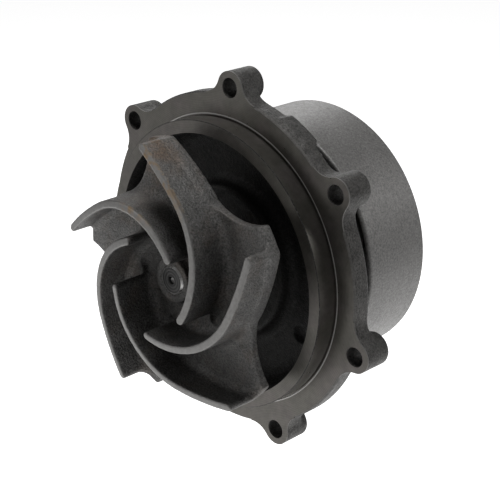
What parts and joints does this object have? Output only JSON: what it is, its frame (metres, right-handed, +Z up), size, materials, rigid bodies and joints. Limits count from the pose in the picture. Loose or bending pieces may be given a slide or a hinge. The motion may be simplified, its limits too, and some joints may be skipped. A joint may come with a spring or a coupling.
{
  "type": "water pump",
  "caption": "Engine coolant pump: lugged round cast flange with spigot, open curved-vane impeller in front, smooth drum belt pulley behind.",
  "frame": {"origin": "centre of the machined mounting face of the flange, on the pump axis", "axes": "+Y along the pump axis from the impeller towards the belt pulley; +Z up; the impeller faces -Y"},
  "size_m": [0.2025, 0.1408, 0.1995],
  "materials": {
    "cast_housing": "machined face and rough cast sides",
    "cast_impeller": "rough cast with faced vane edges",
    "pulley_metal": "matte grainy grey",
    "bright_steel": "ground",
    "bearing_steel": "polished",
    "spring_steel": "oiled",
    "flange_steel": "turned",
    "bolt_zinc": "zinc plated",
    "seal_brass": "drawn",
    "seal_rubber": "matte",
    "seal_ceramic": "lapped",
    "carbon": "lapped carbon",
    "cage_plastic": "moulded"
  },
  "bodies": {
    "housing": {"pump_housing": "cast_housing", "bearing_outer_ring": "bearing_steel", "bearing_seal_front": "seal_rubber", "bearing_seal_rear": "seal_rubber", "bearing_snap_ring": "spring_steel", "seal_cup": "seal_brass", "seal_bellows": "seal_rubber", "seal_spring": "spring_steel"},
    "rotor": {"spindle": "bright_steel", "impeller": "cast_impeller", "mating_ring_boot": "seal_rubber", "mating_ring": "seal_ceramic", "slinger": "seal_rubber", "belt_pulley": "pulley_metal", "drive_flange": "flange_steel", "pulley_bolts": "bolt_zinc"},
    "ball_train": {"ball_row": "bearing_steel", "ball_cage": "cage_plastic"},
    "roller_train": {"roller_row": "bearing_steel", "roller_cage": "cage_plastic"},
    "seal_face": {"carbon_ring": "carbon", "seal_carrier": "seal_brass"}
  },
  "joints": [
    {"name": "shaft_spin", "type": "hinge", "parent": "housing", "child": "rotor", "pos_m": [0, 0, 0], "axis": [0, 1, 0], "continuous": true},
    {"name": "ball_orbit", "type": "hinge", "parent": "housing", "child": "ball_train", "pos_m": [0, 0.029, 0], "axis": [0, 1, 0], "continuous": true},
    {"name": "roller_orbit", "type": "hinge", "parent": "housing", "child": "roller_train", "pos_m": [0, 0.048, 0], "axis": [0, 1, 0], "continuous": true},
    {"name": "seal_face_float", "type": "slide", "parent": "housing", "child": "seal_face", "axis": [0, 1, 0], "range_m": [0, 0.0008], "stiffness_N_per_m": 9000, "springref_m": -0.006, "deforming": ["seal_spring", "seal_bellows"]}
  ],
  "couplings": [
    {"joint": "ball_orbit", "follows": "shaft_spin", "ratio": 0.3574},
    {"joint": "roller_orbit", "follows": "shaft_spin", "ratio": 0.3938}
  ]
}
